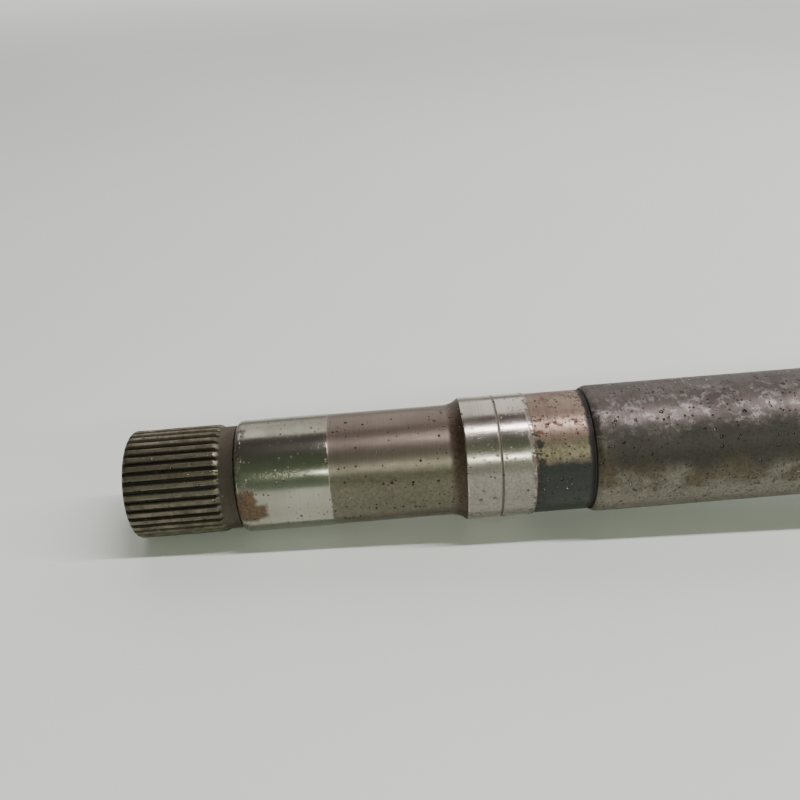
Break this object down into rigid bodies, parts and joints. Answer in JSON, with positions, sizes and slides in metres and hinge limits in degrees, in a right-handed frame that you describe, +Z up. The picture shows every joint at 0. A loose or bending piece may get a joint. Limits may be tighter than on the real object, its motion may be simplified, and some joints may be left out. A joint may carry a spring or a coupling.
{
  "type": "cv axle",
  "caption": "Straight driveshaft: splined link shaft with support bearing, plunging tripod joint, half shaft, ball joint with gaiters, and a threaded wheel-end stub.",
  "frame": {"origin": "on the floor, under the middle of the part's box as it lies", "axes": "+X along the floor from the splined gearbox end towards the wheel end, +Z up; the axle itself climbs towards the wheel end because it rests on its splined end, its inner clamp and its toothed ring"},
  "size_m": [1.0332, 0.1048, 0.1051],
  "materials": {
    "link_forging": "machined and oxide-browned forged steel with polished journals",
    "joint_forging": "dark phosphated forged steel",
    "shaft_forging": "dark forged steel bar",
    "bearing_steel": "ground bearing steel",
    "cage_steel": "pressed steel",
    "ball_steel": "polished hardened steel",
    "needle_steel": "ground steel",
    "hardened_steel": "hardened and ground steel",
    "spring_steel": "blued spring steel",
    "seal_rubber": "moulded seal rubber",
    "boot_rubber": "matte moulded rubber with a grease film",
    "clamp_steel": "zinc-plated strip",
    "pressed_steel": "zinc-plated pressing",
    "ring_steel": "sintered steel with light rust",
    "nut_steel": "zinc-plated"
  },
  "bodies": {
    "bearing_housing_ring": {"bearing_outer_ring": "bearing_steel", "bearing_seal_inboard": "seal_rubber", "bearing_seal_outboard": "seal_rubber"},
    "link": {"link_shaft": "link_forging", "tulip_housing": "joint_forging", "bearing_inner_ring": "bearing_steel", "bearing_snap_ring": "spring_steel", "bearing_dust_ring": "pressed_steel", "inner_boot_clamp_large": "clamp_steel", "inner_boot": "boot_rubber"},
    "bearing_cage": {"bearing_ball_cage": "cage_steel", "bearing_ball_1": "ball_steel", "bearing_ball_2": "ball_steel", "bearing_ball_3": "ball_steel", "bearing_ball_4": "ball_steel", "bearing_ball_5": "ball_steel", "bearing_ball_6": "ball_steel", "bearing_ball_7": "ball_steel", "bearing_ball_8": "ball_steel", "bearing_ball_9": "ball_steel"},
    "roller_1": {"tripod_roller_1": "ball_steel"},
    "shaft": {"axle_shaft": "shaft_forging", "tripod_spider": "hardened_steel", "tripod_roller_2": "ball_steel", "tripod_roller_3": "ball_steel", "roller_needles_1": "needle_steel", "roller_needles_2": "needle_steel", "roller_needles_3": "needle_steel", "roller_washer_1": "hardened_steel", "roller_washer_2": "hardened_steel", "roller_washer_3": "hardened_steel", "roller_clip_1": "spring_steel", "roller_clip_2": "spring_steel", "roller_clip_3": "spring_steel", "spider_snap_ring_inner": "spring_steel", "spider_snap_ring_outer": "spring_steel", "inner_boot_clamp_small": "clamp_steel", "outer_boot_clamp_small": "clamp_steel", "ball_star": "hardened_steel", "star_snap_ring": "spring_steel"},
    "outer_cage": {"ball_cage": "cage_steel", "drive_ball_1": "ball_steel", "drive_ball_2": "ball_steel", "drive_ball_3": "ball_steel", "drive_ball_4": "ball_steel", "drive_ball_5": "ball_steel", "drive_ball_6": "ball_steel"},
    "hub": {"outer_joint_bell": "joint_forging", "outer_boot": "boot_rubber", "outer_boot_clamp_large": "clamp_steel", "abs_ring": "ring_steel", "bell_dust_shield": "pressed_steel", "hub_nut": "nut_steel"}
  },
  "joints": [
    {"name": "link_spin", "type": "hinge", "parent": "bearing_housing_ring", "child": "link", "pos_m": [-0.0544, 0, 0.03333], "axis": [0.9992, 0, 0.0405], "continuous": true},
    {"name": "bearing_cage_spin", "type": "hinge", "parent": "bearing_housing_ring", "child": "bearing_cage", "pos_m": [-0.0544, 0, 0.03333], "axis": [0.9992, 0, 0.0405], "continuous": true},
    {"name": "plunge", "type": "slide", "parent": "link", "child": "roller_1", "axis": [0.9992, 0, 0.0405], "range_m": [-0.012, 0.012], "deforming": ["inner_boot"]},
    {"name": "inner_tilt", "type": "hinge", "parent": "roller_1", "child": "shaft", "pos_m": [0.02853, 0, 0.03669], "axis": [-0.0405, 0, 0.9992], "range_deg": [-12, 12]},
    {"name": "outer_tilt", "type": "hinge", "parent": "shaft", "child": "hub", "pos_m": [0.40822, 0, 0.05207], "axis": [-0.0405, 0, 0.9992], "range_deg": [-40, 40], "deforming": ["outer_boot"]},
    {"name": "outer_cage_tilt", "type": "hinge", "parent": "shaft", "child": "outer_cage", "pos_m": [0.40822, 0, 0.05207], "axis": [-0.0405, 0, 0.9992], "range_deg": [-21, 21]}
  ],
  "couplings": [
    {"joint": "bearing_cage_spin", "follows": "link_spin", "ratio": 0.4175},
    {"joint": "outer_cage_tilt", "follows": "outer_tilt", "ratio": 0.5}
  ]
}
